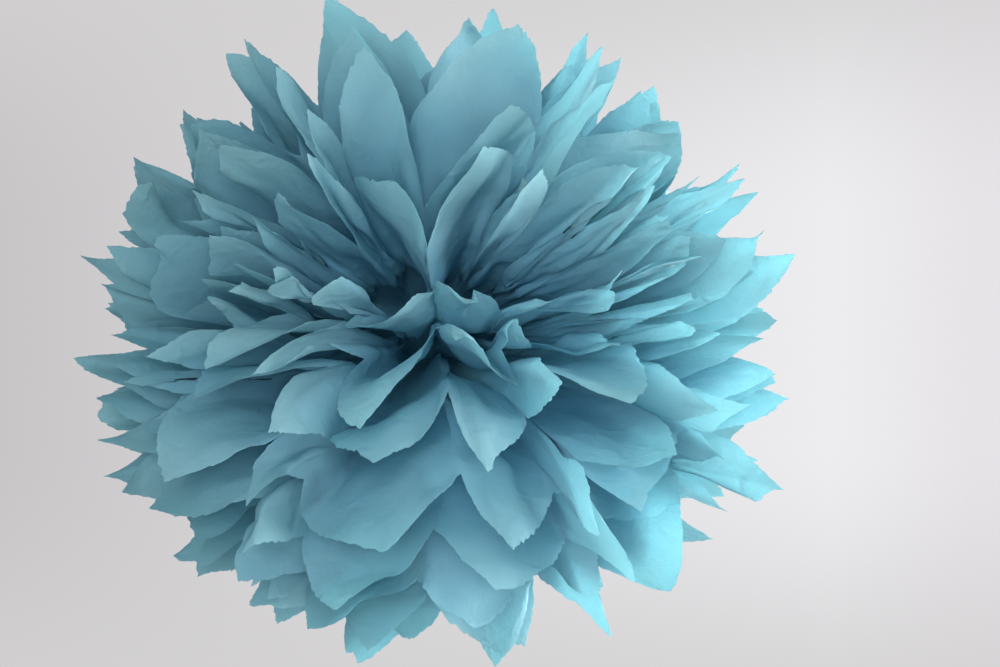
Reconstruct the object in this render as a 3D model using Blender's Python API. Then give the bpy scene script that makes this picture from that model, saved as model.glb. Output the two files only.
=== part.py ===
"""Tissue paper pom pom: twelve accordion-folded sheets fanned out round one wire tie.

Each sheet is folded into a strip of narrow pleats, its two ends are cut to a point through all
pleats at once, and the stack of strips is tied at its middle. The two halves of every sheet then
open like fans, one upwards and one downwards, and are pulled apart layer by layer into a ball.
The origin is the middle of the tie. The two poles of the ball lie on the Y axis, the front one
towards -Y, and the folded strips run along Z.
"""
import math

import bmesh
import bpy
import numpy as np

# Paper and folding, in metres
PLEATS = 10
PLEAT_WIDTH = 0.0508
REACH = 0.174
NOTCH_DEPTH = 0.042
TIP_STRAIGHTNESS = 0.85
RIM_SPREAD = 2.5
PAPER_THICKNESS = 0.00025

# The gathered middle, in metres
SHEET_PITCH = 0.0006
BUNDLE_WIDTH = 0.011
BUNDLE_ROUNDNESS = 1.2
FLAT_LENGTH = 0.003
GATHER_REACH = 0.02

# How far each layer is pulled towards its pole, in degrees, from the middle layers outwards
SLACK_LEANS = (8.0, 21.0, 34.0, 47.0, 60.0, 71.0)
CLOSE_LEANS = (6.0, 20.0, 34.0, 57.0, 69.0, 81.0)
LEAN_LIMIT = 100.0
LEAN_KNEE = 75.0
EDGE_AZIMUTH = 88.0
EDGE_OVERLAP = 2.0
SEAM_FADE = 8.0
FAN_TURN = 0.94
FAN_DIP = 0.3
MIDDLE_CROWDING = 0.2
ARCH = 0.1
DROOP = 4.0
HEIGHT_SHARE = 0.955

# Depth of the zigzag, in degrees seen from the tie
LEAST_ZIGZAG = 3.0
STEEPEST_FOLD = 0.9
CREASE_ROUNDING = 0.3
LEAST_GAP = 8.0
BLEND_SHARPNESS = 0.7

# Reaches between which each effect fades in on the way out from the tie, in metres
UNEVEN_SPAN = (0.01, 0.09)
DRIFT_SPAN = (0.01, 0.12)
OVERLAP_SPAN = (0.035, 0.09)
FOLD_SPAN = (0.015, 0.07)
ROUNDING_SPAN = (0.04, 0.17)
LIFT_SPAN = (0.06, 0.18)
CUP_SPAN = (0.04, 0.12)
GAP_SPAN = (0.02, 0.06)
SWAY_SPAN = (0.02, 0.11)

# Unevenness that comes from pulling the layers apart by hand
SEED = 6
CREASE_DRIFT = 0.2
DRIFT_MEMORY = 0.7
CREASE_LIFT = 9.0
PANEL_CUP = 5.0
TIP_CURL = 10.0
TIP_OFFSET = 0.5
TIP_GROWTH = 0.011
NOTCH_GROWTH = 0.008
PLEAT_UNEVENNESS = 0.33
SWAY = 0.003
SWAY_WAVES = 9
SWAY_LENGTHS = (0.11, 0.24)

# Tie wire, in metres
WIRE_DIAMETER = 0.0008
WIRE_CLEARANCE = 0.0003
TAIL_LENGTH = 0.02
TWIST_PITCH = 0.006
LOOP_POINTS = 28
TAIL_POINTS = 20

# Mesh stations from the tie to the rim
STATIONS = (0.0, 0.13, 0.4, 0.72, 1.0)

LAYERS = len(SLACK_LEANS)
SHEETS = 2 * LAYERS
NOTCH_REACH = REACH - NOTCH_DEPTH
BUNDLE_DEPTH = BUNDLE_ROUNDNESS * ((SHEETS - 1) * SHEET_PITCH + PAPER_THICKNESS)


def ease(value, span):
    """Rise smoothly from 0 at the start of a span to 1 at its end."""
    start, stop = span
    share = np.clip((value - start) / (stop - start), 0.0, 1.0)
    return share * share * (3.0 - 2.0 * share)


def soft_maximum(first, second):
    """The larger of two angles, blended where they are about equal."""
    return np.logaddexp(BLEND_SHARPNESS * first, BLEND_SHARPNESS * second) / BLEND_SHARPNESS


def limit_lean(lean):
    """Keep a lean short of the pole without changing the order of the layers."""
    size = np.abs(lean)
    room = LEAN_LIMIT - LEAN_KNEE
    squeezed = LEAN_KNEE + room * np.tanh((size - LEAN_KNEE) / room)
    return np.sign(lean) * np.where(size < LEAN_KNEE, size, squeezed)


def at_crease(values, crease):
    """Pick from the last axis of values the entry of each point's crease."""
    return np.take_along_axis(values, crease[..., None], -1)[..., 0]


def sheet_lean(order, side):
    """Lean of a half sheet. The lower half closes in at the front pole, the upper one behind."""
    layer = order - LAYERS
    if layer >= 0:
        return CLOSE_LEANS[layer] if side == 1 else SLACK_LEANS[layer]
    return -CLOSE_LEANS[-layer - 1] if side == 0 else -SLACK_LEANS[-layer - 1]


class HalfSheet:
    """One half of a sheet, from the tie out to its cut rim."""

    def __init__(self, order, side, drift, rng):
        self.order = order
        self.side = side
        self.full_lean = sheet_lean(order, side)
        self.drift = drift
        self.lift = CREASE_LIFT * rng.uniform(-1, 1, PLEATS + 1)
        self.notch_growth = NOTCH_GROWTH * rng.uniform(-1, 1, PLEATS + 1)
        self.tip_growth = TIP_GROWTH * rng.uniform(-1, 1, PLEATS)
        self.tip_place = 0.5 + 0.5 * TIP_OFFSET * rng.uniform(-1, 1, PLEATS)
        self.cup = PANEL_CUP * rng.uniform(-1, 1, PLEATS)
        self.curl = TIP_CURL * rng.uniform(-1, 1, PLEATS)
        self.share = self.crease_shares(PLEAT_UNEVENNESS * (1.0 - 0.5 * math.cos(order + 2 * side)))
        self.overlap = EDGE_OVERLAP if (order + side) % 2 == 0 else -EDGE_OVERLAP

    def crease_shares(self, unevenness):
        """Places of the creases across the fan, with wide and narrow pleats in turn."""
        pleat = np.arange(PLEATS)
        from_middle = np.minimum(pleat, PLEATS - 1 - pleat) - (PLEATS // 2 - 1)
        widths = 1.0 + unevenness * np.where(from_middle % 2 == 0, 1.0, -1.0)
        widths[0] = widths[-1] = 1.0
        return np.concatenate([[0.0], np.cumsum(widths)]) / widths.sum()

    def layer_lean(self, reach):
        """Lean of the whole layer: flat at the tie, steepest inside, arching outwards."""
        gathered = 1.0 - np.exp(-reach / GATHER_REACH)
        arch = 1.0 + ARCH * (1.0 - (reach / REACH) ** 2)
        return self.full_lean * gathered * arch

    def crease_azimuths(self, reach):
        """Direction of each crease round the poles, in degrees from the half's own axis."""
        reach = reach[..., None]
        even = np.arange(PLEATS + 1) / PLEATS
        share = even + (self.share - even) * ease(reach, UNEVEN_SPAN)
        lean = np.radians(np.clip(self.layer_lean(reach), -EDGE_AZIMUTH, EDGE_AZIMUTH))
        across = 1.0 - 2.0 * share
        crowding = 1.0 + MIDDLE_CROWDING * np.sin(lean) ** 2
        across = np.sign(across) * np.abs(across) ** crowding
        fan = np.radians(EDGE_AZIMUTH * across)
        azimuth = np.degrees(np.arctan2(np.sin(fan), np.cos(fan) * np.cos(FAN_TURN * lean)))
        edge = np.where(fan > 0.0, self.edge_azimuth(1.0, reach), self.edge_azimuth(-1.0, reach))
        azimuth = azimuth * edge / EDGE_AZIMUTH
        steps = -np.diff(azimuth, axis=-1)
        room = np.minimum(steps[..., 1:], steps[..., :-1])
        azimuth[..., 1:-1] += room * self.drift[1:-1] * ease(reach, DRIFT_SPAN)
        return azimuth, fan

    def edge_azimuth(self, end, reach):
        """Direction of the sheet's edge on the +X or -X end of its fan."""
        return EDGE_AZIMUTH + end * self.overlap * ease(reach, OVERLAP_SPAN)

    def crease_leans(self, reach, azimuth, fan):
        """Lean of each crease without and with its share of the zigzag."""
        reach = reach[..., None]
        lean = self.layer_lean(reach)
        beyond = lean - np.clip(lean, -90.0, 90.0)
        dip = 1.0 - FAN_DIP * np.sin(fan) ** 2
        base = np.degrees(np.arcsin(np.sin(np.radians(lean - beyond)) * dip)) + beyond
        return base, base + self.zigzag(reach, azimuth, base)

    def zigzag(self, reach, azimuth, base):
        """Rise and fall of the creases that keeps every pleat about as wide as it was folded."""
        tilt = np.radians(limit_lean(base))
        middle = 0.5 * (tilt[..., 1:] + tilt[..., :-1])
        sideways = np.cos(middle) * np.radians(np.diff(azimuth, axis=-1))
        spread = np.hypot(sideways, np.diff(tilt, axis=-1))
        spread = np.minimum(spread[..., [0, *range(PLEATS)]], spread[..., [*range(PLEATS), -1]])
        closed = np.clip(1.0 - (reach * spread / PLEAT_WIDTH) ** 2, 0.0, 1.0)
        angle = np.degrees(np.arctan2(0.5 * PLEAT_WIDTH * np.sqrt(closed), reach + 1e-6))
        angle = np.minimum(angle, STEEPEST_FOLD * np.degrees(spread)) * ease(reach, FOLD_SPAN)
        angle = np.maximum(angle, LEAST_ZIGZAG * ease(reach, FOLD_SPAN))
        return angle * np.where(np.arange(PLEATS + 1) % 2 == 0, -1.0, 1.0)

    def lean_at(self, azimuth, reach):
        """Lean of this half where nothing pushes it, at a direction and a reach."""
        creases, fan = self.crease_azimuths(reach)
        base, folded = self.crease_leans(reach, creases, fan)
        pleat = np.sum(creases[..., 1:-1] > azimuth[..., None], axis=-1)
        start = at_crease(creases, pleat)
        stop = at_crease(creases, pleat + 1)
        part = np.clip((start - azimuth) / (start - stop), 0.0, 1.0)
        rounded = part * part * (3.0 - 2.0 * part)
        bent = part + CREASE_ROUNDING * ease(reach, ROUNDING_SPAN) * (rounded - part)
        zigzag = folded - base
        lean = (1.0 - part) * at_crease(base, pleat) + part * at_crease(base, pleat + 1)
        lean = lean + (1.0 - bent) * at_crease(zigzag, pleat) + bent * at_crease(zigzag, pleat + 1)
        lift = (1.0 - part) * self.lift[pleat] + part * self.lift[pleat + 1]
        bulge = 4.0 * part * (1.0 - part)
        outer = np.clip(reach / REACH, 0.0, 1.1)
        lean = lean + lift * ease(reach, LIFT_SPAN)
        lean = lean + self.cup[pleat] * bulge * ease(reach, CUP_SPAN)
        lean = lean + self.curl[pleat] * bulge * outer ** 3
        return lean - math.copysign(DROOP, self.full_lean) * outer ** 4

    def columns(self, steps):
        """Places across the pleats: each crease, each tip and steps between them."""
        places = []
        for pleat, tip in enumerate(self.tip_place):
            places.extend(pleat + tip * step / steps for step in range(steps))
            places.extend(pleat + tip + (1.0 - tip) * step / steps for step in range(steps))
        places.append(float(PLEATS))
        return np.array(places)

    def rim_reach(self, places):
        """Reach of the notches and of the cut rim over each place across the pleats."""
        pleat = np.minimum(places.astype(int), PLEATS - 1)
        part = places - pleat
        tip = self.tip_place[pleat]
        off_tip = np.where(part > tip, (part - tip) / (1.0 - tip), (tip - part) / tip)
        notch = (1.0 - part) * self.notch_growth[pleat] + part * self.notch_growth[pleat + 1]
        ogive = 1.0 - TIP_STRAIGHTNESS * off_tip - (1.0 - TIP_STRAIGHTNESS) * off_tip ** 3
        return NOTCH_REACH + notch, (NOTCH_DEPTH + self.tip_growth[pleat]) * ogive


def sway_waves(rng):
    """Long waves that bend the whole ball a little out of true."""
    direction = rng.normal(size=(SWAY_WAVES, 3))
    direction /= np.linalg.norm(direction, axis=1)[:, None]
    length = rng.uniform(*SWAY_LENGTHS, SWAY_WAVES)
    phase = rng.uniform(0.0, 2.0 * math.pi, SWAY_WAVES)
    push = rng.normal(size=(SWAY_WAVES, 3))
    push /= np.linalg.norm(push, axis=1)[:, None]
    return direction * (2.0 * math.pi / length)[:, None], phase, push


def swayed(points, waves):
    """Move points along the long waves, not at all near the tie."""
    direction, phase, push = waves
    shift = np.sin(points @ direction.T + phase) @ push
    distance = np.linalg.norm(points, axis=-1)
    return points + SWAY * ease(distance, SWAY_SPAN)[..., None] * shift


def draw_halves():
    """Draw the unevenness of every half sheet, and the sway of the ball."""
    rng = np.random.default_rng(SEED)
    halves = []
    for side in (0, 1):
        drift = np.zeros(PLEATS + 1)
        stack = []
        for order in range(SHEETS):
            drift = DRIFT_MEMORY * drift + CREASE_DRIFT * rng.uniform(-1, 1, PLEATS + 1)
            stack.append(HalfSheet(order, side, drift, rng))
        halves.append(stack)
    return halves, sway_waves(rng)


def half_points(stack, facing, steps, stations, waves):
    """Points of the frontmost half sheet of a stack, by place across and station outwards."""
    half = stack[-1]
    places = half.columns(steps)
    notch, tip = half.rim_reach(places)
    stations = np.asarray(stations)
    reach = notch[:, None] * stations + tip[:, None] * stations ** RIM_SPREAD
    creases, _ = half.crease_azimuths(reach)
    pleat = np.broadcast_to(np.minimum(places.astype(int), PLEATS - 1)[:, None], reach.shape)
    part = (places - pleat[:, 0])[:, None]
    azimuth = (1.0 - part) * at_crease(creases, pleat) + part * at_crease(creases, pleat + 1)
    lean = np.radians(limit_lean(stacked_lean(stack, facing, azimuth, reach)))
    azimuth = np.radians(azimuth)
    upward = 1.0 if half.side == 0 else -1.0
    across = np.cos(lean) * np.sin(azimuth)
    along = HEIGHT_SHARE * np.cos(lean) * np.cos(azimuth)
    middle = neck_points(half.order, places, upward)
    direction = np.stack([across, -np.sin(lean), upward * along], axis=-1)
    return swayed(middle[:, None, :] + reach[..., None] * direction, waves)


def stacked_lean(stack, facing, azimuth, reach):
    """Lean of the frontmost sheet of a stack, kept in front of all those behind it."""
    gap = LEAST_GAP * ease(reach, GAP_SPAN)
    from_facing = np.copysign(180.0, azimuth) - azimuth
    seam_width = np.degrees(np.arctan2(FLAT_LENGTH, reach))
    lean = stack[0].lean_at(azimuth, reach)
    for half, other in zip(stack[1:], facing):
        past_edge = np.abs(from_facing) + seam_width - other.edge_azimuth(np.sign(from_facing), reach)
        faded = other.lean_at(from_facing, reach) - SEAM_FADE * np.maximum(past_edge, 0.0)
        lean = soft_maximum(soft_maximum(lean, faded) + gap, half.lean_at(azimuth, reach))
    return lean


def neck_points(order, places, upward):
    """Points where a half leaves the flat middle of its sheet."""
    depth = -(order - 0.5 * (SHEETS - 1)) * SHEET_PITCH
    half_width = 0.5 * BUNDLE_WIDTH * math.sqrt(1.0 - (2.0 * depth / BUNDLE_DEPTH) ** 2)
    across = half_width * (1.0 - 2.0 * places / PLEATS)
    points = np.empty((len(places), 3))
    points[:, 0] = across
    points[:, 1] = depth
    points[:, 2] = upward * 0.5 * FLAT_LENGTH
    return points


def grid_faces(bm, rows):
    """Bridge neighbouring rows of vertices with quads."""
    for low, high in zip(rows, rows[1:]):
        for left in range(len(low) - 1):
            bm.faces.new((low[left], low[left + 1], high[left + 1], high[left]))


def sheet_mesh(name, upper, lower):
    """Middle surface of one sheet, from the lower rim through the tie to the upper rim."""
    bm = bmesh.new()
    rows = []
    for grid, stations in ((lower, range(len(STATIONS) - 1, -1, -1)), (upper, range(len(STATIONS)))):
        rows.extend([bm.verts.new(point) for point in grid[:, station]] for station in stations)
    grid_faces(bm, rows)
    bmesh.ops.recalc_face_normals(bm, faces=bm.faces)
    mesh = bpy.data.meshes.new(name)
    bm.to_mesh(mesh)
    bm.free()
    return mesh


def principled(name, colour, roughness, metallic=0.0):
    """Material with one plain finish."""
    material = bpy.data.materials.new(name)
    material.use_nodes = True
    shader = material.node_tree.nodes["Principled BSDF"]
    shader.inputs["Base Color"].default_value = (*colour, 1.0)
    shader.inputs["Roughness"].default_value = roughness
    shader.inputs["Metallic"].default_value = metallic
    return material


def place(name, data, material):
    """Object of its own for a mesh or a curve."""
    data.materials.append(material)
    thing = bpy.data.objects.new(name, data)
    bpy.context.scene.collection.objects.link(thing)
    return thing


def add_sheets(material):
    """The twelve folded sheets, numbered from the back of the stack to the front."""
    halves, waves = draw_halves()
    for order in range(SHEETS):
        upper, lower = (
            half_points(halves[side][:order + 1], halves[1 - side][:order], 1, STATIONS, waves)
            for side in (0, 1)
        )
        name = f"tissue_sheet_{order + 1:02d}"
        sheet = place(name, sheet_mesh(name, upper, lower), material)
        solidify = sheet.modifiers.new("paper", "SOLIDIFY")
        solidify.thickness = PAPER_THICKNESS
        solidify.offset = 0.0


def wire_path():
    """Route of the wire: down one strand of the tail, round the bundle and up the other."""
    grown = 2.0 * WIRE_CLEARANCE + WIRE_DIAMETER
    loop_across = 0.5 * (BUNDLE_WIDTH + grown)
    loop_deep = 0.5 * (BUNDLE_DEPTH + grown)
    strand = 0.5 * (WIRE_DIAMETER + WIRE_CLEARANCE)
    opening = math.asin(strand / loop_across)
    start = loop_deep * math.cos(opening)
    strand_down = []
    for point in range(TAIL_POINTS + 1):
        height = TAIL_LENGTH * (1.0 - point / TAIL_POINTS)
        turn = 2.0 * math.pi * height / TWIST_PITCH
        strand_down.append((strand * math.cos(turn), start + height, strand * math.sin(turn)))
    loop = []
    for point in range(1, LOOP_POINTS):
        angle = opening + (2.0 * math.pi - 2.0 * opening) * point / LOOP_POINTS
        loop.append((loop_across * math.sin(angle), loop_deep * math.cos(angle), 0.0))
    strand_up = [(-x, y, -z) for x, y, z in reversed(strand_down)]
    return strand_down + loop + strand_up


def add_tie_wire(material):
    """Florist's wire bent round the middle of the stack and twisted together behind it."""
    curve = bpy.data.curves.new("tie_wire", "CURVE")
    curve.dimensions = "3D"
    curve.bevel_depth = 0.5 * WIRE_DIAMETER
    curve.bevel_resolution = 1
    curve.use_fill_caps = True
    path = wire_path()
    spline = curve.splines.new("POLY")
    spline.points.add(len(path) - 1)
    for point, position in zip(spline.points, path):
        point.co = (*position, 1.0)
    place("tie_wire", curve, material)


def main():
    """Clear the scene and build the pom pom."""
    for thing in list(bpy.data.objects):
        bpy.data.objects.remove(thing)
    add_sheets(principled("blue_tissue_paper", (0.10, 0.33, 0.43), 0.75))
    add_tie_wire(principled("green_lacquered_wire", (0.03, 0.13, 0.06), 0.35))


main()
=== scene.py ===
"""Looks of the tissue paper pom pom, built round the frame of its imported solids.

Every sheet is drawn again with the rule that shaped its plain solid, with fine creases, soft
crumples and the rough cut rim that the solid leaves out, and stands in for that solid.
"""

import math

import bmesh
import bpy
import numpy as np
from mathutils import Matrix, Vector, noise


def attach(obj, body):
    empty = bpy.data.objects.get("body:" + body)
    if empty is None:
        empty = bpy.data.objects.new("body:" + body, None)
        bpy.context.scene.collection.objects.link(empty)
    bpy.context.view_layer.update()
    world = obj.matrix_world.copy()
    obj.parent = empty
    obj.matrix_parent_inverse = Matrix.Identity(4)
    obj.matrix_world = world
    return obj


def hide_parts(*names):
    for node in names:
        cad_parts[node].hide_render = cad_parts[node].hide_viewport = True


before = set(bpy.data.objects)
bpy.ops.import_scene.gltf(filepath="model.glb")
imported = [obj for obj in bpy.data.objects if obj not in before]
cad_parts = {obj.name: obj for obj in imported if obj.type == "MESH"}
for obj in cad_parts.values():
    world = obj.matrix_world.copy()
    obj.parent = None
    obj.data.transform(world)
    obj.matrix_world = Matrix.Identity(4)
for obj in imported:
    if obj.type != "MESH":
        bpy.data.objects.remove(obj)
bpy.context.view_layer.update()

# Paper and folding, in metres
PLEATS = 10
PLEAT_WIDTH = 0.0508
REACH = 0.174
NOTCH_DEPTH = 0.042
TIP_STRAIGHTNESS = 0.85
RIM_SPREAD = 2.5
PAPER_THICKNESS = 0.00025

# The gathered middle, in metres
SHEET_PITCH = 0.0006
BUNDLE_WIDTH = 0.011
BUNDLE_ROUNDNESS = 1.2
FLAT_LENGTH = 0.003
GATHER_REACH = 0.02

# How far each layer is pulled towards its pole, in degrees, from the middle layers outwards
SLACK_LEANS = (8.0, 21.0, 34.0, 47.0, 60.0, 71.0)
CLOSE_LEANS = (6.0, 20.0, 34.0, 57.0, 69.0, 81.0)
LEAN_LIMIT = 100.0
LEAN_KNEE = 75.0
EDGE_AZIMUTH = 88.0
EDGE_OVERLAP = 2.0
SEAM_FADE = 8.0
FAN_TURN = 0.94
FAN_DIP = 0.3
MIDDLE_CROWDING = 0.2
ARCH = 0.1
DROOP = 4.0
HEIGHT_SHARE = 0.955

# Depth of the zigzag, in degrees seen from the tie
LEAST_ZIGZAG = 3.0
STEEPEST_FOLD = 0.9
CREASE_ROUNDING = 0.3
LEAST_GAP = 8.0
BLEND_SHARPNESS = 0.7

# Reaches between which each effect fades in on the way out from the tie, in metres
UNEVEN_SPAN = (0.01, 0.09)
DRIFT_SPAN = (0.01, 0.12)
OVERLAP_SPAN = (0.035, 0.09)
FOLD_SPAN = (0.015, 0.07)
ROUNDING_SPAN = (0.04, 0.17)
LIFT_SPAN = (0.06, 0.18)
CUP_SPAN = (0.04, 0.12)
GAP_SPAN = (0.02, 0.06)
SWAY_SPAN = (0.02, 0.11)

# Unevenness that comes from pulling the layers apart by hand
SEED = 6
CREASE_DRIFT = 0.2
DRIFT_MEMORY = 0.7
CREASE_LIFT = 9.0
PANEL_CUP = 5.0
TIP_CURL = 10.0
TIP_OFFSET = 0.5
TIP_GROWTH = 0.011
NOTCH_GROWTH = 0.008
PLEAT_UNEVENNESS = 0.33
SWAY = 0.003
SWAY_WAVES = 9
SWAY_LENGTHS = (0.11, 0.24)

# Tie wire, in metres
WIRE_DIAMETER = 0.0008
WIRE_CLEARANCE = 0.0003
TAIL_LENGTH = 0.02
TWIST_PITCH = 0.006
LOOP_POINTS = 28
TAIL_POINTS = 20

LAYERS = len(SLACK_LEANS)
SHEETS = 2 * LAYERS
NOTCH_REACH = REACH - NOTCH_DEPTH
BUNDLE_DEPTH = BUNDLE_ROUNDNESS * ((SHEETS - 1) * SHEET_PITCH + PAPER_THICKNESS)

# Fine mesh of each sheet, in metres
FINE_STEPS = 8
FINE_STATIONS = 44
STATION_CROWDING = 0.85
FINE_THICKNESS = 0.00012
LEAST_LENGTH = 1e-12

# Cut rim of each fine sheet, in metres
TEETH_PER_STEP = 4
TOOTH_DEPTH = 0.0014
TOOTH_SHARES = (0.2, 1.0)
RIM_WANDER = 0.003
RIM_WANDER_SCALE = 0.35

# Crumples, with the dimension, lacunarity and octaves of each noise, then offset and gain
CRUMPLE_SIZE = 0.0036
CRUMPLE_SCALE = 46.0
CRUMPLE_STRETCH = 0.6
CRUMPLE_SPAN = (0.02, 0.09)
SOFT_FRACTAL = (1.0, 2.2, 3)
RIDGED_FRACTAL = (1.0, 2.0, 2, 1.0, 1.5)
RIDGE_SCALE = 0.6
RIDGE_SHARE = 0.6

# Slow waves and rolled edges of the petal ends, and how calm the sheet's own edges stay
RIPPLE_SIZE = 0.0048
RIPPLE_SCALE = 58.0
RIPPLE_STRETCH = 0.4
RIPPLE_SPAN = (0.08, 0.17)
ROLL_SIZE = 0.0042
ROLL_START = 0.72
ROLLS_PER_PLEAT = 3
LEAST_CALM = 0.15
CALM_PLEATS = (0.0, 1.5)

# Steps that give every half sheet noise and random draws of its own
ORDER_SHIFT = 7.3
SIDE_SHIFT = 3.1
RIPPLE_SHIFT = 40.0
SEED_STEPS = 10
ROLL_SEED = 900
TOOTH_SEED = 5

# Dyed tissue with painted light: stops of the tint darkened as painted shade in the middle and of the
# tint paled as a painted glow of light let through towards the rim, and the distances over which the
# painted glow spreads
SHADED_MIDDLE_TINT = ((0.3, (0.16, 0.432, 0.60, 1.0)), (0.7, (0.22, 0.512, 0.69, 1.0)))
LIT_RIM_TINT = ((0.3, (0.30, 0.545, 0.60, 1.0)), (0.7, (0.40, 0.635, 0.70, 1.0)))
RIM_GLOW_DISTANCES = (0.13, 0.22)
RIM_GLOW_UNEVENNESS = 0.09
RIM_GLOW_PATCHES = {"Scale": 14.0}
DYE_MOTTLE = {"Scale": 26.0, "Detail": 8.0, "Roughness": 0.75}
TISSUE_FINISH = {"Roughness": 0.8, "Specular IOR Level": 0.25}
THROUGH_COLOUR = (0.45, 0.74, 0.785, 1.0)
THROUGH_SHARE = 0.5

# Relief of the tissue that is too fine for its mesh
FIBRES = {"Scale": 420.0, "Detail": 4.0, "Distortion": 1.2}
FIBRE_BUMP = {"Strength": 0.7, "Distance": 0.0005}
CREASES = {"Scale": 85.0, "Detail": 3.0, "Distortion": 0.6}
CREASE_BUMP = {"Strength": 0.8, "Distance": 0.0015}

# Lacquered wire
WIRE_FINISH = {"Roughness": 0.35}
WIRE_ROUNDNESS = 4
LACQUER = ((0.35, (0.02, 0.09, 0.04, 1.0)), (0.75, (0.05, 0.18, 0.08, 1.0)))
LACQUER_WEAR = {"Scale": 900.0, "Detail": 3.0}

# Camera, seen from a little below the front pole
CAMERA_DISTANCE = 1.25
CAMERA_ELEVATION = -16.0
SENSOR_WIDTH = 36.0
FRAME_WIDTH = 0.522
IMAGE_SIZE = (1000, 667)
BALL_CENTRE = (432.0, 342.0)

# Floor and even light
FLOOR_HEIGHT = -2.2
FLOOR_SIZE = 40.0
FLOOR_FINISH = {"Base Color": (0.85, 0.84, 0.85, 1.0), "Roughness": 0.9}
WORLD_COLOUR = (0.93, 0.96, 1.0, 1.0)
WORLD_LIGHT = 0.38

# Wall behind the ball, with painted light: its colours across, a painted pool of light right of the
# ball, and the even shade it fades to above and below
WALL_ACROSS = (-0.18, 0.22)
WALL_PAINTED_LIGHT = (
    (0.0, (0.571, 0.556, 0.565, 1.0)),
    (1.0, (0.795, 0.775, 0.795, 1.0)),
    (0.86, (0.850, 0.845, 0.865, 1.0)),
)
WALL_FALLOFF = (0.04, 0.17)
WALL_EDGE_COLOUR = (0.650, 0.638, 0.645, 1.0)

# Lamps: name, place and size in metres, power in watts and colour
LAMPS = (
    ("key_lamp", (1.75, -0.3, 0.0), 1.3, 45.0, (1.0, 0.99, 0.97)),
    ("glow_lamp", (1.6, 0.9, 0.0), 1.0, 90.0, (1.0, 0.99, 0.96)),
    ("fill_lamp", (-0.2, -2.1, -0.4), 0.9, 25.0, (0.94, 0.97, 1.0)),
)


def ease(value, span):
    """Rise smoothly from 0 at the start of a span to 1 at its end."""
    start, stop = span
    share = np.clip((value - start) / (stop - start), 0.0, 1.0)
    return share * share * (3.0 - 2.0 * share)


def soft_maximum(first, second):
    """The larger of two angles, blended where they are about equal."""
    return np.logaddexp(BLEND_SHARPNESS * first, BLEND_SHARPNESS * second) / BLEND_SHARPNESS


def limit_lean(lean):
    """Keep a lean short of the pole without changing the order of the layers."""
    size = np.abs(lean)
    room = LEAN_LIMIT - LEAN_KNEE
    squeezed = LEAN_KNEE + room * np.tanh((size - LEAN_KNEE) / room)
    return np.sign(lean) * np.where(size < LEAN_KNEE, size, squeezed)


def at_crease(values, crease):
    """Pick from the last axis of values the entry of each point's crease."""
    return np.take_along_axis(values, crease[..., None], -1)[..., 0]


def sheet_lean(order, side):
    """Lean of a half sheet. The lower half closes in at the front pole, the upper one behind."""
    layer = order - LAYERS
    if layer >= 0:
        return CLOSE_LEANS[layer] if side == 1 else SLACK_LEANS[layer]
    return -CLOSE_LEANS[-layer - 1] if side == 0 else -SLACK_LEANS[-layer - 1]


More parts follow.
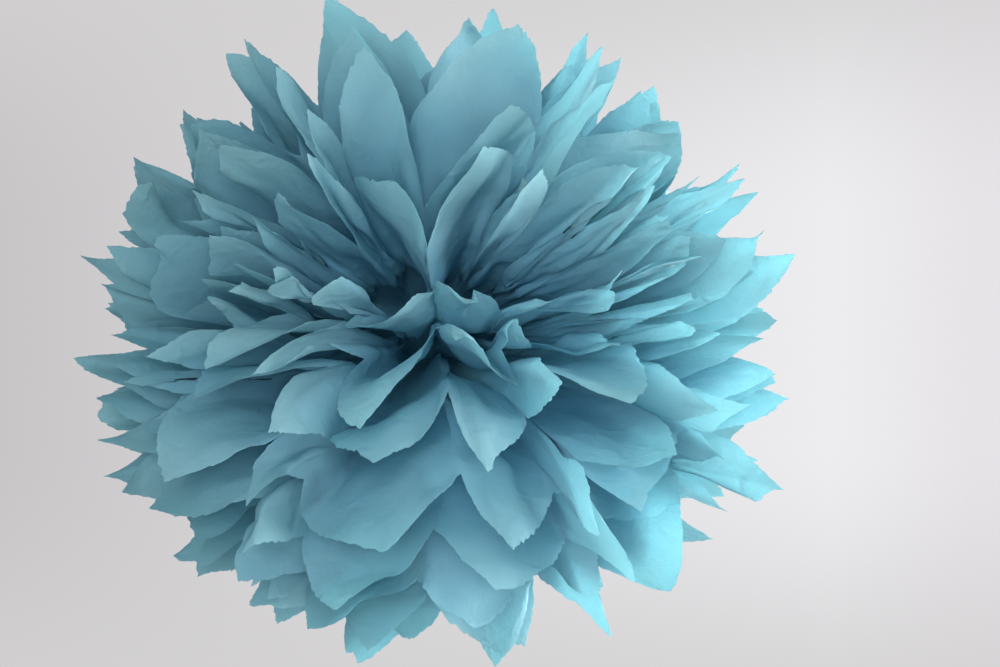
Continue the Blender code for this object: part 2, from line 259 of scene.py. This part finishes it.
class HalfSheet:
    """One half of a sheet, from the tie out to its cut rim."""

    def __init__(self, order, side, drift, rng):
        self.order = order
        self.side = side
        self.full_lean = sheet_lean(order, side)
        self.drift = drift
        self.lift = CREASE_LIFT * rng.uniform(-1, 1, PLEATS + 1)
        self.notch_growth = NOTCH_GROWTH * rng.uniform(-1, 1, PLEATS + 1)
        self.tip_growth = TIP_GROWTH * rng.uniform(-1, 1, PLEATS)
        self.tip_place = 0.5 + 0.5 * TIP_OFFSET * rng.uniform(-1, 1, PLEATS)
        self.cup = PANEL_CUP * rng.uniform(-1, 1, PLEATS)
        self.curl = TIP_CURL * rng.uniform(-1, 1, PLEATS)
        self.share = self.crease_shares(PLEAT_UNEVENNESS * (1.0 - 0.5 * math.cos(order + 2 * side)))
        self.overlap = EDGE_OVERLAP if (order + side) % 2 == 0 else -EDGE_OVERLAP

    def crease_shares(self, unevenness):
        """Places of the creases across the fan, with wide and narrow pleats in turn."""
        pleat = np.arange(PLEATS)
        from_middle = np.minimum(pleat, PLEATS - 1 - pleat) - (PLEATS // 2 - 1)
        widths = 1.0 + unevenness * np.where(from_middle % 2 == 0, 1.0, -1.0)
        widths[0] = widths[-1] = 1.0
        return np.concatenate([[0.0], np.cumsum(widths)]) / widths.sum()

    def layer_lean(self, reach):
        """Lean of the whole layer: flat at the tie, steepest inside, arching outwards."""
        gathered = 1.0 - np.exp(-reach / GATHER_REACH)
        arch = 1.0 + ARCH * (1.0 - (reach / REACH) ** 2)
        return self.full_lean * gathered * arch

    def crease_azimuths(self, reach):
        """Direction of each crease round the poles, in degrees from the half's own axis."""
        reach = reach[..., None]
        even = np.arange(PLEATS + 1) / PLEATS
        share = even + (self.share - even) * ease(reach, UNEVEN_SPAN)
        lean = np.radians(np.clip(self.layer_lean(reach), -EDGE_AZIMUTH, EDGE_AZIMUTH))
        across = 1.0 - 2.0 * share
        crowding = 1.0 + MIDDLE_CROWDING * np.sin(lean) ** 2
        across = np.sign(across) * np.abs(across) ** crowding
        fan = np.radians(EDGE_AZIMUTH * across)
        azimuth = np.degrees(np.arctan2(np.sin(fan), np.cos(fan) * np.cos(FAN_TURN * lean)))
        edge = np.where(fan > 0.0, self.edge_azimuth(1.0, reach), self.edge_azimuth(-1.0, reach))
        azimuth = azimuth * edge / EDGE_AZIMUTH
        steps = -np.diff(azimuth, axis=-1)
        room = np.minimum(steps[..., 1:], steps[..., :-1])
        azimuth[..., 1:-1] += room * self.drift[1:-1] * ease(reach, DRIFT_SPAN)
        return azimuth, fan

    def edge_azimuth(self, end, reach):
        """Direction of the sheet's edge on the +X or -X end of its fan."""
        return EDGE_AZIMUTH + end * self.overlap * ease(reach, OVERLAP_SPAN)

    def crease_leans(self, reach, azimuth, fan):
        """Lean of each crease without and with its share of the zigzag."""
        reach = reach[..., None]
        lean = self.layer_lean(reach)
        beyond = lean - np.clip(lean, -90.0, 90.0)
        dip = 1.0 - FAN_DIP * np.sin(fan) ** 2
        base = np.degrees(np.arcsin(np.sin(np.radians(lean - beyond)) * dip)) + beyond
        return base, base + self.zigzag(reach, azimuth, base)

    def zigzag(self, reach, azimuth, base):
        """Rise and fall of the creases that keeps every pleat about as wide as it was folded."""
        tilt = np.radians(limit_lean(base))
        middle = 0.5 * (tilt[..., 1:] + tilt[..., :-1])
        sideways = np.cos(middle) * np.radians(np.diff(azimuth, axis=-1))
        spread = np.hypot(sideways, np.diff(tilt, axis=-1))
        spread = np.minimum(spread[..., [0, *range(PLEATS)]], spread[..., [*range(PLEATS), -1]])
        closed = np.clip(1.0 - (reach * spread / PLEAT_WIDTH) ** 2, 0.0, 1.0)
        angle = np.degrees(np.arctan2(0.5 * PLEAT_WIDTH * np.sqrt(closed), reach + 1e-6))
        angle = np.minimum(angle, STEEPEST_FOLD * np.degrees(spread)) * ease(reach, FOLD_SPAN)
        angle = np.maximum(angle, LEAST_ZIGZAG * ease(reach, FOLD_SPAN))
        return angle * np.where(np.arange(PLEATS + 1) % 2 == 0, -1.0, 1.0)

    def lean_at(self, azimuth, reach):
        """Lean of this half where nothing pushes it, at a direction and a reach."""
        creases, fan = self.crease_azimuths(reach)
        base, folded = self.crease_leans(reach, creases, fan)
        pleat = np.sum(creases[..., 1:-1] > azimuth[..., None], axis=-1)
        start = at_crease(creases, pleat)
        stop = at_crease(creases, pleat + 1)
        part = np.clip((start - azimuth) / (start - stop), 0.0, 1.0)
        rounded = part * part * (3.0 - 2.0 * part)
        bent = part + CREASE_ROUNDING * ease(reach, ROUNDING_SPAN) * (rounded - part)
        zigzag = folded - base
        lean = (1.0 - part) * at_crease(base, pleat) + part * at_crease(base, pleat + 1)
        lean = lean + (1.0 - bent) * at_crease(zigzag, pleat) + bent * at_crease(zigzag, pleat + 1)
        lift = (1.0 - part) * self.lift[pleat] + part * self.lift[pleat + 1]
        bulge = 4.0 * part * (1.0 - part)
        outer = np.clip(reach / REACH, 0.0, 1.1)
        lean = lean + lift * ease(reach, LIFT_SPAN)
        lean = lean + self.cup[pleat] * bulge * ease(reach, CUP_SPAN)
        lean = lean + self.curl[pleat] * bulge * outer ** 3
        return lean - math.copysign(DROOP, self.full_lean) * outer ** 4

    def columns(self, steps):
        """Places across the pleats: each crease, each tip and steps between them."""
        places = []
        for pleat, tip in enumerate(self.tip_place):
            places.extend(pleat + tip * step / steps for step in range(steps))
            places.extend(pleat + tip + (1.0 - tip) * step / steps for step in range(steps))
        places.append(float(PLEATS))
        return np.array(places)

    def rim_reach(self, places):
        """Reach of the notches and of the cut rim over each place across the pleats."""
        pleat = np.minimum(places.astype(int), PLEATS - 1)
        part = places - pleat
        tip = self.tip_place[pleat]
        off_tip = np.where(part > tip, (part - tip) / (1.0 - tip), (tip - part) / tip)
        notch = (1.0 - part) * self.notch_growth[pleat] + part * self.notch_growth[pleat + 1]
        ogive = 1.0 - TIP_STRAIGHTNESS * off_tip - (1.0 - TIP_STRAIGHTNESS) * off_tip ** 3
        return NOTCH_REACH + notch, (NOTCH_DEPTH + self.tip_growth[pleat]) * ogive


def sway_waves(rng):
    """Long waves that bend the whole ball a little out of true."""
    direction = rng.normal(size=(SWAY_WAVES, 3))
    direction /= np.linalg.norm(direction, axis=1)[:, None]
    length = rng.uniform(*SWAY_LENGTHS, SWAY_WAVES)
    phase = rng.uniform(0.0, 2.0 * math.pi, SWAY_WAVES)
    push = rng.normal(size=(SWAY_WAVES, 3))
    push /= np.linalg.norm(push, axis=1)[:, None]
    return direction * (2.0 * math.pi / length)[:, None], phase, push


def swayed(points, waves):
    """Move points along the long waves, not at all near the tie."""
    direction, phase, push = waves
    shift = np.sin(points @ direction.T + phase) @ push
    distance = np.linalg.norm(points, axis=-1)
    return points + SWAY * ease(distance, SWAY_SPAN)[..., None] * shift


def draw_halves():
    """Draw the unevenness of every half sheet, and the sway of the ball."""
    rng = np.random.default_rng(SEED)
    halves = []
    for side in (0, 1):
        drift = np.zeros(PLEATS + 1)
        stack = []
        for order in range(SHEETS):
            drift = DRIFT_MEMORY * drift + CREASE_DRIFT * rng.uniform(-1, 1, PLEATS + 1)
            stack.append(HalfSheet(order, side, drift, rng))
        halves.append(stack)
    return halves, sway_waves(rng)


def half_points(stack, facing, steps, stations, waves):
    """Points of the frontmost half sheet of a stack, by place across and station outwards."""
    half = stack[-1]
    places = half.columns(steps)
    notch, tip = half.rim_reach(places)
    stations = np.asarray(stations)
    reach = notch[:, None] * stations + tip[:, None] * stations ** RIM_SPREAD
    creases, _ = half.crease_azimuths(reach)
    pleat = np.broadcast_to(np.minimum(places.astype(int), PLEATS - 1)[:, None], reach.shape)
    part = (places - pleat[:, 0])[:, None]
    azimuth = (1.0 - part) * at_crease(creases, pleat) + part * at_crease(creases, pleat + 1)
    lean = np.radians(limit_lean(stacked_lean(stack, facing, azimuth, reach)))
    azimuth = np.radians(azimuth)
    upward = 1.0 if half.side == 0 else -1.0
    across = np.cos(lean) * np.sin(azimuth)
    along = HEIGHT_SHARE * np.cos(lean) * np.cos(azimuth)
    middle = neck_points(half.order, places, upward)
    direction = np.stack([across, -np.sin(lean), upward * along], axis=-1)
    return swayed(middle[:, None, :] + reach[..., None] * direction, waves)


def stacked_lean(stack, facing, azimuth, reach):
    """Lean of the frontmost sheet of a stack, kept in front of all those behind it."""
    gap = LEAST_GAP * ease(reach, GAP_SPAN)
    from_facing = np.copysign(180.0, azimuth) - azimuth
    seam_width = np.degrees(np.arctan2(FLAT_LENGTH, reach))
    lean = stack[0].lean_at(azimuth, reach)
    for half, other in zip(stack[1:], facing):
        past_edge = np.abs(from_facing) + seam_width - other.edge_azimuth(np.sign(from_facing), reach)
        faded = other.lean_at(from_facing, reach) - SEAM_FADE * np.maximum(past_edge, 0.0)
        lean = soft_maximum(soft_maximum(lean, faded) + gap, half.lean_at(azimuth, reach))
    return lean


def neck_points(order, places, upward):
    """Points where a half leaves the flat middle of its sheet."""
    depth = -(order - 0.5 * (SHEETS - 1)) * SHEET_PITCH
    half_width = 0.5 * BUNDLE_WIDTH * math.sqrt(1.0 - (2.0 * depth / BUNDLE_DEPTH) ** 2)
    across = half_width * (1.0 - 2.0 * places / PLEATS)
    points = np.empty((len(places), 3))
    points[:, 0] = across
    points[:, 1] = depth
    points[:, 2] = upward * 0.5 * FLAT_LENGTH
    return points


def grid_faces(bm, rows):
    """Bridge neighbouring rows of vertices with quads."""
    for low, high in zip(rows, rows[1:]):
        for left in range(len(low) - 1):
            bm.faces.new((low[left], low[left + 1], high[left + 1], high[left]))


def wire_path():
    """Route of the wire: down one strand of the tail, round the bundle and up the other."""
    grown = 2.0 * WIRE_CLEARANCE + WIRE_DIAMETER
    loop_across = 0.5 * (BUNDLE_WIDTH + grown)
    loop_deep = 0.5 * (BUNDLE_DEPTH + grown)
    strand = 0.5 * (WIRE_DIAMETER + WIRE_CLEARANCE)
    opening = math.asin(strand / loop_across)
    start = loop_deep * math.cos(opening)
    strand_down = []
    for point in range(TAIL_POINTS + 1):
        height = TAIL_LENGTH * (1.0 - point / TAIL_POINTS)
        turn = 2.0 * math.pi * height / TWIST_PITCH
        strand_down.append((strand * math.cos(turn), start + height, strand * math.sin(turn)))
    loop = []
    for point in range(1, LOOP_POINTS):
        angle = opening + (2.0 * math.pi - 2.0 * opening) * point / LOOP_POINTS
        loop.append((loop_across * math.sin(angle), loop_deep * math.cos(angle), 0.0))
    strand_up = [(-x, y, -z) for x, y, z in reversed(strand_down)]
    return strand_down + loop + strand_up


def fine_stations():
    """Stations from the tie to the rim, closer together towards the rim."""
    return np.linspace(0.0, 1.0, FINE_STATIONS) ** STATION_CROWDING


def flat_coordinates(half):
    """Where each fine vertex lies on its half sheet laid flat, in metres."""
    places = half.columns(FINE_STEPS)
    notch, tip = half.rim_reach(places)
    stations = fine_stations()
    reach = notch[:, None] * stations + tip[:, None] * stations ** RIM_SPREAD
    across = np.broadcast_to((places * PLEAT_WIDTH)[:, None], reach.shape)
    return across, reach


def surface_normals(points):
    """Unit normals of a grid of points."""
    along = np.gradient(points, axis=1)
    over = np.gradient(points, axis=0)
    normal = np.cross(over, along)
    return normal / (np.linalg.norm(normal, axis=-1)[..., None] + LEAST_LENGTH)


def crumples(across, reach, seed):
    """Height of the soft crumples over a flat half sheet, in metres."""
    height = np.empty(across.size)
    for index, (u, v) in enumerate(zip(across.ravel(), reach.ravel())):
        where = Vector((u * CRUMPLE_SCALE, v * CRUMPLE_SCALE * CRUMPLE_STRETCH, seed))
        ridged = noise.ridged_multi_fractal(where * RIDGE_SCALE, *RIDGED_FRACTAL)
        height[index] = noise.fractal(where, *SOFT_FRACTAL) + RIDGE_SHARE * ridged - RIDGE_SHARE
    height = height.reshape(across.shape)
    return CRUMPLE_SIZE * height * ease(reach, CRUMPLE_SPAN)


def ripples(across, reach, seed):
    """Height of the slow waves of the loose petal ends, in metres."""
    height = np.array([
        noise.noise(Vector((u * RIPPLE_SCALE, v * RIPPLE_STRETCH * RIPPLE_SCALE, seed + RIPPLE_SHIFT)))
        for u, v in zip(across.ravel(), reach.ravel())
    ])
    return RIPPLE_SIZE * height.reshape(across.shape) * ease(reach, RIPPLE_SPAN)


def rolls(half, seed):
    """Height of the rolled and turned-up petal edges, in metres."""
    rng = np.random.default_rng(int(seed * SEED_STEPS) + ROLL_SEED)
    turns = ROLLS_PER_PLEAT * PLEATS + 1
    turned = rng.uniform(-1, 1, turns)
    across = np.interp(half.columns(FINE_STEPS), np.linspace(0, PLEATS, turns), turned)
    outer = np.clip((fine_stations() - ROLL_START) / (1.0 - ROLL_START), 0.0, 1.0)
    return ROLL_SIZE * across[:, None] * outer ** 2


def fine_half(stack, facing, waves):
    """Points of a crumpled fine half sheet and of its rough rim."""
    half = stack[-1]
    points = half_points(stack, facing, FINE_STEPS, fine_stations(), waves)
    across, reach = flat_coordinates(half)
    seed = ORDER_SHIFT * half.order + SIDE_SHIFT * half.side
    height = crumples(across, reach, seed) + ripples(across, reach, seed) + rolls(half, seed)
    places = half.columns(FINE_STEPS)
    inward = ease(np.minimum(places, PLEATS - places), CALM_PLEATS)
    calm = LEAST_CALM + (1.0 - LEAST_CALM) * inward
    points = points + surface_normals(points) * (height * calm[:, None])[..., None]
    return points, rough_rim(points, seed)


def rough_rim(points, seed):
    """Points along the cut rim, with the small uneven teeth that scissors leave in a thick stack."""
    rim = points[:, -1]
    outwards = rim - points[:, -2]
    outwards /= np.linalg.norm(outwards, axis=-1)[:, None]
    place = np.arange((len(rim) - 1) * TEETH_PER_STEP + 1) / TEETH_PER_STEP
    whole = np.arange(len(rim))
    fine = np.stack([np.interp(place, whole, rim[:, axis]) for axis in range(3)], axis=-1)
    out = np.stack([np.interp(place, whole, outwards[:, axis]) for axis in range(3)], axis=-1)
    rng = np.random.default_rng(int(seed * SEED_STEPS) + TOOTH_SEED)
    teeth = TOOTH_DEPTH * rng.uniform(-1, 1, len(place)) * rng.uniform(*TOOTH_SHARES, len(place))
    wander = np.array([noise.noise(Vector((RIM_WANDER_SCALE * p, seed, 0.0))) for p in place])
    return fine + out * (teeth + RIM_WANDER * wander)[:, None]


def tooth_faces(left, right, teeth):
    """Triangles between one step of the last row and its teeth on the rim."""
    middle = len(teeth) // 2
    faces = [(left, teeth[step + 1], teeth[step]) for step in range(middle)]
    faces.append((left, right, teeth[middle]))
    faces.extend((right, teeth[step + 1], teeth[step]) for step in range(middle, len(teeth) - 1))
    return faces


def fine_sheet_mesh(name, upper, lower):
    """Mesh of a whole sheet's middle surface from its two fine halves and their rims."""
    bm = bmesh.new()
    rows = [
        [bm.verts.new(point) for point in lower[0][:, station]]
        for station in range(FINE_STATIONS - 2, -1, -1)
    ]
    rows.extend(
        [bm.verts.new(point) for point in upper[0][:, station]]
        for station in range(FINE_STATIONS - 1)
    )
    grid_faces(bm, rows)
    for rim, row, turned in ((lower[1], rows[0], True), (upper[1], rows[-1], False)):
        edge = [bm.verts.new(point) for point in rim]
        for left in range(len(row) - 1):
            teeth = edge[left * TEETH_PER_STEP:(left + 1) * TEETH_PER_STEP + 1]
            for corners in tooth_faces(row[left], row[left + 1], teeth):
                bm.faces.new(reversed(corners) if turned else corners)
    bmesh.ops.recalc_face_normals(bm, faces=bm.faces)
    mesh = bpy.data.meshes.new(name)
    bm.to_mesh(mesh)
    bm.free()
    mesh.shade_smooth()
    return mesh


def feed(tree, node, inputs):
    """Give each listed input of a node its value, or wire it to the socket that feeds it."""
    for place, given in inputs.items():
        if isinstance(given, bpy.types.NodeSocket):
            tree.links.new(given, node.inputs[place])
        else:
            node.inputs[place].default_value = given


def add_node(tree, kind, inputs):
    """New shader node of a kind, with its inputs fed."""
    node = tree.nodes.new("ShaderNode" + kind)
    feed(tree, node, inputs)
    return node


def add_math(tree, operation, *inputs):
    """Result of an operation on one to three values or sockets."""
    node = tree.nodes.new("ShaderNodeMath")
    node.operation = operation
    feed(tree, node, dict(enumerate(inputs)))
    return node.outputs["Value"]


def add_share(tree, value, span, interpolation="LINEAR"):
    """How far a value has come from the start of a span to its end, from 0 to 1."""
    node = tree.nodes.new("ShaderNodeMapRange")
    node.interpolation_type = interpolation
    feed(tree, node, {"Value": value, "From Min": span[0], "From Max": span[1]})
    return node.outputs["Result"]


def add_noise(tree, place, settings, kind="FBM"):
    """Strength of a noise at each place."""
    node = tree.nodes.new("ShaderNodeTexNoise")
    node.noise_type = kind
    feed(tree, node, {**settings, "Vector": place})
    return node.outputs["Fac"]


def add_ramp(tree, share, stops):
    """Colour of a ramp at a share. The first two stops are its ends, the others lie between."""
    node = add_node(tree, "ValToRGB", {"Fac": share})
    elements = node.color_ramp.elements
    for element, (position, colour) in zip(elements, stops):
        element.position = position
        element.color = colour
    for position, colour in stops[2:]:
        elements.new(position).color = colour
    return node.outputs["Color"]


def new_material(name, finish):
    """Material with a finish, its node tree and its main shader."""
    material = bpy.data.materials.new(name)
    material.use_nodes = True
    tree = material.node_tree
    shader = tree.nodes["Principled BSDF"]
    feed(tree, shader, finish)
    return material, tree, shader


def dye_with_painted_light(tree, place):
    """Mottled dyed colour with painted light: darker in the middle as painted shade, paling unevenly
    towards the rim as a painted glow of light let through.
    """
    mottle = add_noise(tree, place, DYE_MOTTLE)
    # Painted shade: the darker tint of the middle
    shaded_middle = add_ramp(tree, mottle, SHADED_MIDDLE_TINT)
    # Painted glow: the paler tint towards the rim, as if lit through the paper
    faded = add_ramp(tree, mottle, LIT_RIM_TINT)
    distance = tree.nodes.new("ShaderNodeVectorMath")
    distance.operation = "LENGTH"
    tree.links.new(place, distance.inputs[0])
    patches = add_noise(tree, place, RIM_GLOW_PATCHES)
    uneven = add_math(tree, "MULTIPLY_ADD", patches, RIM_GLOW_UNEVENNESS, distance.outputs["Value"])
    # Painted light grows from the shaded middle towards the glowing rim
    outer = add_share(tree, uneven, RIM_GLOW_DISTANCES)
    painted_light_tint = add_node(tree, "MixRGB", {"Fac": outer, "Color1": shaded_middle, "Color2": faded})
    return painted_light_tint.outputs["Color"]


def tissue_relief(tree, place):
    """Normals of faint fibres over fine creases."""
    creases = add_noise(tree, place, CREASES, "RIDGED_MULTIFRACTAL")
    folds = add_node(tree, "Bump", {**CREASE_BUMP, "Height": creases}).outputs["Normal"]
    fibres = add_noise(tree, place, FIBRES)
    bump = add_node(tree, "Bump", {**FIBRE_BUMP, "Height": fibres, "Normal": folds})
    return bump.outputs["Normal"]


def tissue_material():
    """Thin dyed tissue: matt, mottled, creased and fibrous, and lit through from behind."""
    material, tree, shader = new_material("dyed_tissue", TISSUE_FINISH)
    place = tree.nodes.new("ShaderNodeTexCoord").outputs["Object"]
    normal = tissue_relief(tree, place)
    feed(tree, shader, {"Base Color": dye_with_painted_light(tree, place), "Normal": normal})
    through = add_node(tree, "BsdfTranslucent", {"Color": THROUGH_COLOUR, "Normal": normal})
    halves = {"Fac": THROUGH_SHARE, 1: shader.outputs["BSDF"], 2: through.outputs["BSDF"]}
    mix = add_node(tree, "MixShader", halves)
    feed(tree, tree.nodes["Material Output"], {"Surface": mix.outputs["Shader"]})
    return material


def wire_material():
    """Green lacquer, worn paler in small spots."""
    material, tree, shader = new_material("lacquered_wire", WIRE_FINISH)
    place = tree.nodes.new("ShaderNodeTexCoord").outputs["Object"]
    wear = add_noise(tree, place, LACQUER_WEAR)
    feed(tree, shader, {"Base Color": add_ramp(tree, wear, LACQUER)})
    return material


def add_object(name, data):
    """Object of some data, linked to the scene."""
    thing = bpy.data.objects.new(name, data)
    bpy.context.scene.collection.objects.link(thing)
    return thing


def add_tissue():
    """The twelve fine sheets, each in place of its plain solid."""
    material = tissue_material()
    halves, waves = draw_halves()
    for order in range(SHEETS):
        upper, lower = (
            fine_half(halves[side][:order + 1], halves[1 - side][:order], waves)
            for side in (0, 1)
        )
        name = f"fine_tissue_{order + 1:02d}"
        mesh = fine_sheet_mesh(name, upper, lower)
        mesh.materials.append(material)
        sheet = add_object(name, mesh)
        solidify = sheet.modifiers.new("paper", "SOLIDIFY")
        solidify.thickness = FINE_THICKNESS
        solidify.offset = 0.0
        sheet.modifiers.new("flat_to_the_rim", "WEIGHTED_NORMAL")
        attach(sheet, "root")
        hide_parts(f"tissue_sheet_{order + 1:02d}")


def add_wire():
    """Round smooth wire in place of its plain solid."""
    curve = bpy.data.curves.new("fine_tie_wire", "CURVE")
    curve.dimensions = "3D"
    curve.bevel_depth = 0.5 * WIRE_DIAMETER
    curve.bevel_resolution = WIRE_ROUNDNESS
    curve.use_fill_caps = True
    path = wire_path()
    spline = curve.splines.new("POLY")
    spline.points.add(len(path) - 1)
    for point, position in zip(spline.points, path):
        point.co = (*position, 1.0)
    curve.materials.append(wire_material())
    wire = add_object("fine_tie_wire", curve)
    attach(wire, "root")
    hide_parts("tie_wire")


def add_floor():
    """Pale floor far below the hanging ball."""
    bpy.ops.mesh.primitive_plane_add(size=FLOOR_SIZE, location=(0.0, 0.0, FLOOR_HEIGHT))
    floor = bpy.context.object
    floor.name = "studio_floor"
    material, _, _ = new_material("pale_floor", FLOOR_FINISH)
    floor.data.materials.append(material)


def painted_wall_light(tree):
    """Pale wall with painted light, brightest on the right, that fades to one even shade well above
    and below.
    """
    view = tree.nodes.new("ShaderNodeTexCoord").outputs["Generated"]
    direction = add_node(tree, "SeparateXYZ", {"Vector": view})
    across = add_share(tree, direction.outputs["X"], WALL_ACROSS)
    # Painted light: a pool of light across the wall, brightest right of the ball
    wall = add_ramp(tree, across, WALL_PAINTED_LIGHT)
    level = -math.sin(math.radians(CAMERA_ELEVATION))
    height = add_math(tree, "SUBTRACT", direction.outputs["Z"], level)
    off_level = add_math(tree, "ABSOLUTE", height)
    falloff = add_share(tree, off_level, WALL_FALLOFF, "SMOOTHSTEP")
    shades = {"Fac": falloff, "Color1": wall, "Color2": WALL_EDGE_COLOUR}
    return add_node(tree, "MixRGB", shades).outputs["Color"]


def wall_rays(tree):
    """1 for the rays that see the wall: from the camera, off gloss and through the paper."""
    path = tree.nodes.new("ShaderNodeLightPath")
    seen = path.outputs["Is Camera Ray"]
    for kind in ("Is Glossy Ray", "Is Transmission Ray"):
        seen = add_math(tree, "MAXIMUM", seen, path.outputs[kind])
    return seen


def set_world():
    """Even studio light, with the pale wall of the photo seen behind and through the paper."""
    world = bpy.data.worlds.new("studio")
    bpy.context.scene.world = world
    world.use_nodes = True
    tree = world.node_tree
    light = tree.nodes["Background"]
    feed(tree, light, {"Color": WORLD_COLOUR, "Strength": WORLD_LIGHT})
    shown = add_node(tree, "Background", {"Color": painted_wall_light(tree)})
    sides = {"Fac": wall_rays(tree), 1: light.outputs["Background"], 2: shown.outputs["Background"]}
    mix = add_node(tree, "MixShader", sides)
    feed(tree, tree.nodes["World Output"], {"Surface": mix.outputs["Shader"]})


def aim(thing, place):
    """Put a lamp or the camera at a place and aim it at the middle of the ball."""
    thing.location = place
    thing.rotation_euler = (-Vector(place)).to_track_quat("-Z", "Y").to_euler()


def add_lamp(name, place, size, power, colour):
    """Soft square lamp aimed at the ball."""
    lamp = bpy.data.lights.new(name, "AREA")
    lamp.size = size
    lamp.energy = power
    lamp.color = colour
    aim(add_object(name, lamp), place)


def add_camera():
    """Camera of the photo, a little below the front pole."""
    camera = bpy.data.cameras.new("photo_camera")
    camera.sensor_width = SENSOR_WIDTH
    camera.lens = SENSOR_WIDTH * CAMERA_DISTANCE / FRAME_WIDTH
    camera.shift_x = (0.5 * IMAGE_SIZE[0] - BALL_CENTRE[0]) / IMAGE_SIZE[0]
    camera.shift_y = (BALL_CENTRE[1] - 0.5 * IMAGE_SIZE[1]) / IMAGE_SIZE[0]
    thing = add_object("photo_camera", camera)
    elevation = math.radians(CAMERA_ELEVATION)
    aim(thing, Vector((0.0, -math.cos(elevation), math.sin(elevation))) * CAMERA_DISTANCE)
    bpy.context.scene.camera = thing


add_tissue()
add_wire()
add_floor()
set_world()
for lamp_values in LAMPS:
    add_lamp(*lamp_values)
add_camera()
bpy.context.scene.view_settings.view_transform = "Standard"
